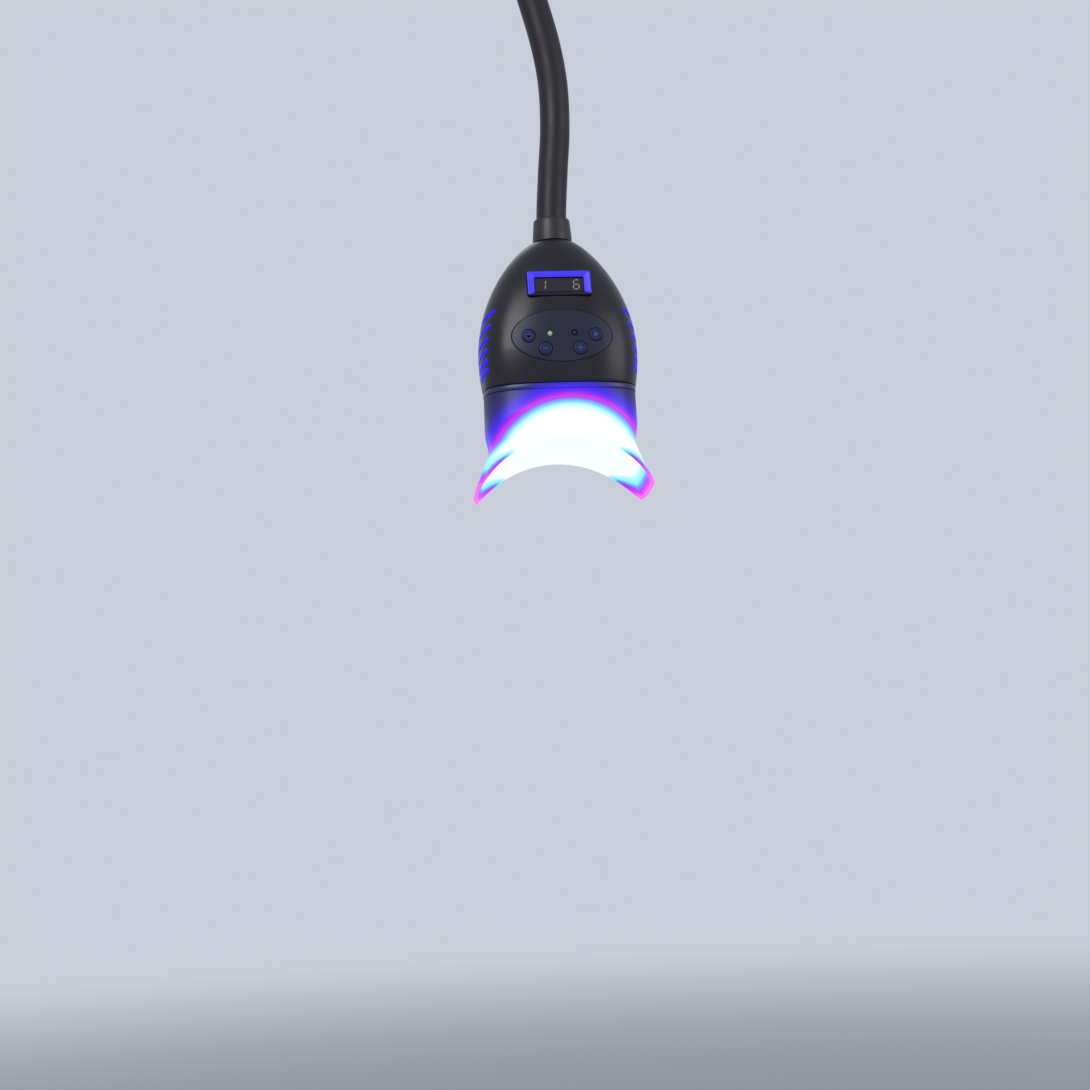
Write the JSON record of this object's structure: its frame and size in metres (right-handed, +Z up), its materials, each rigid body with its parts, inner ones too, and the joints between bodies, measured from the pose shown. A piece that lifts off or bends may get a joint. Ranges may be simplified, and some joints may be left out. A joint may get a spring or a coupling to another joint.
{
  "type": "teeth whitening lamp",
  "caption": "Hanging blue-light tooth whitening lamp head with a flared translucent mouth guard, display and oval keypad, on a flexible gooseneck with a threaded stud.",
  "frame": {"origin": "centre of the stud's end face at the top of the flexible neck", "axes": "+Z up out of the stud; the head hangs towards -Z with its display and keypad facing -Y and its light and mouth guard pointing down"},
  "size_m": [0.0884, 0.0563, 0.3766],
  "materials": {
    "shell": "moulded graphite ABS, satin gloss",
    "bezel": "moulded light ABS, lit blue from inside",
    "membrane": "printed navy polycarbonate membrane",
    "keycap": "moulded navy keys",
    "window": "smoked acrylic window",
    "black_plastic": "moulded black plastic",
    "sleeve": "smooth black sleeve",
    "lead": "round lead",
    "nickel": "turned brass, nickel plated",
    "steel": "zinc plated steel",
    "aluminium": "extruded and cut aluminium",
    "board": "green board laminate",
    "reflector": "metallised moulding",
    "lens": "clear moulded cover",
    "emitter": "lit blue emitter",
    "guard": "milky translucent moulding, lit blue from inside",
    "pad": "silicone pad"
  },
  "bodies": {
    "arm_end": {"end_fitting": "nickel", "lock_nut": "nickel", "power_inlet": "black_plastic", "gooseneck_core_1": "steel", "neck_sleeve": "sleeve", "supply_lead": "lead"},
    "neck_link_1": {"gooseneck_core_2": "steel"},
    "neck_link_2": {"gooseneck_core_3": "steel"},
    "neck_link_3": {"gooseneck_core_4": "steel"},
    "neck_link_4": {"gooseneck_core_5": "steel"},
    "neck_link_5": {"gooseneck_core_6": "steel"},
    "head": {"front_housing": "shell", "rear_housing": "shell", "lamp_barrel": "shell", "display_bezel": "bezel", "keypad_panel": "membrane", "display_window": "window", "display_module": "black_plastic", "buzzer": "black_plastic", "tact_switch_1": "black_plastic", "tact_switch_2": "black_plastic", "tact_switch_3": "black_plastic", "tact_switch_4": "black_plastic", "fan_frame": "black_plastic", "neck_collar": "black_plastic", "neck_nut": "steel", "neck_washer": "steel", "gooseneck_core_7": "steel", "board_screw_1": "steel", "board_screw_2": "steel", "board_screw_3": "steel", "board_screw_4": "steel", "housing_screw_1": "steel", "housing_screw_2": "steel", "housing_screw_3": "steel", "housing_screw_4": "steel", "heat_sink": "aluminium", "led_board": "aluminium", "control_board": "board", "reflector_plate": "reflector", "front_lens": "lens", "blue_led_1": "emitter", "blue_led_2": "emitter", "blue_led_3": "emitter", "blue_led_4": "emitter", "blue_led_5": "emitter", "blue_led_6": "emitter", "indicator_left": "emitter", "indicator_right": "emitter", "thermal_pad": "pad"},
    "fan_rotor": {"fan_rotor": "black_plastic"},
    "key_minus": {"key_minus": "keycap"},
    "key_plus": {"key_plus": "keycap"},
    "key_power": {"key_power": "keycap"},
    "key_start": {"key_start": "keycap"},
    "mouth_guard": {"mouth_guard": "guard"}
  },
  "joints": [
    {"name": "neck_bend_1", "type": "hinge", "parent": "arm_end", "child": "neck_link_1", "pos_m": [0.00003, 0, -0.05185], "axis": [0, 1, 0], "range_deg": [-30, 30], "deforming": ["neck_sleeve", "supply_lead"]},
    {"name": "neck_bend_2", "type": "hinge", "parent": "neck_link_1", "child": "neck_link_2", "pos_m": [0.00314, 0, -0.08738], "axis": [1, 0, 0], "range_deg": [-30, 30]},
    {"name": "neck_bend_3", "type": "hinge", "parent": "neck_link_2", "child": "neck_link_3", "pos_m": [0.01149, 0, -0.12207], "axis": [0, 1, 0], "range_deg": [-30, 30]},
    {"name": "neck_bend_4", "type": "hinge", "parent": "neck_link_3", "child": "neck_link_4", "pos_m": [0.01892, 0, -0.15696], "axis": [1, 0, 0], "range_deg": [-30, 30]},
    {"name": "neck_bend_5", "type": "hinge", "parent": "neck_link_4", "child": "neck_link_5", "pos_m": [0.01962, 0, -0.19261], "axis": [0, 1, 0], "range_deg": [-30, 30]},
    {"name": "neck_bend_6", "type": "hinge", "parent": "neck_link_5", "child": "head", "pos_m": [0.01641, 0, -0.22816], "axis": [1, 0, 0], "range_deg": [-30, 30]},
    {"name": "press_power", "type": "slide", "parent": "head", "child": "key_power", "axis": [0, 1, 0], "range_m": [0, 0.0005], "stiffness_N_per_m": 1500},
    {"name": "press_start", "type": "slide", "parent": "head", "child": "key_start", "axis": [0, 1, 0], "range_m": [0, 0.0005], "stiffness_N_per_m": 1500},
    {"name": "press_minus", "type": "slide", "parent": "head", "child": "key_minus", "axis": [0, 1, 0], "range_m": [0, 0.0005], "stiffness_N_per_m": 1500},
    {"name": "press_plus", "type": "slide", "parent": "head", "child": "key_plus", "axis": [0, 1, 0], "range_m": [0, 0.0005], "stiffness_N_per_m": 1500},
    {"name": "fan_spin", "type": "hinge", "parent": "head", "child": "fan_rotor", "pos_m": [0.016, 0.003, -0.3014], "axis": [0, 0, 1], "continuous": true},
    {"name": "guard_pull", "type": "slide", "parent": "head", "child": "mouth_guard", "axis": [0, 0, -1], "range_m": [0, 0.03]}
  ]
}
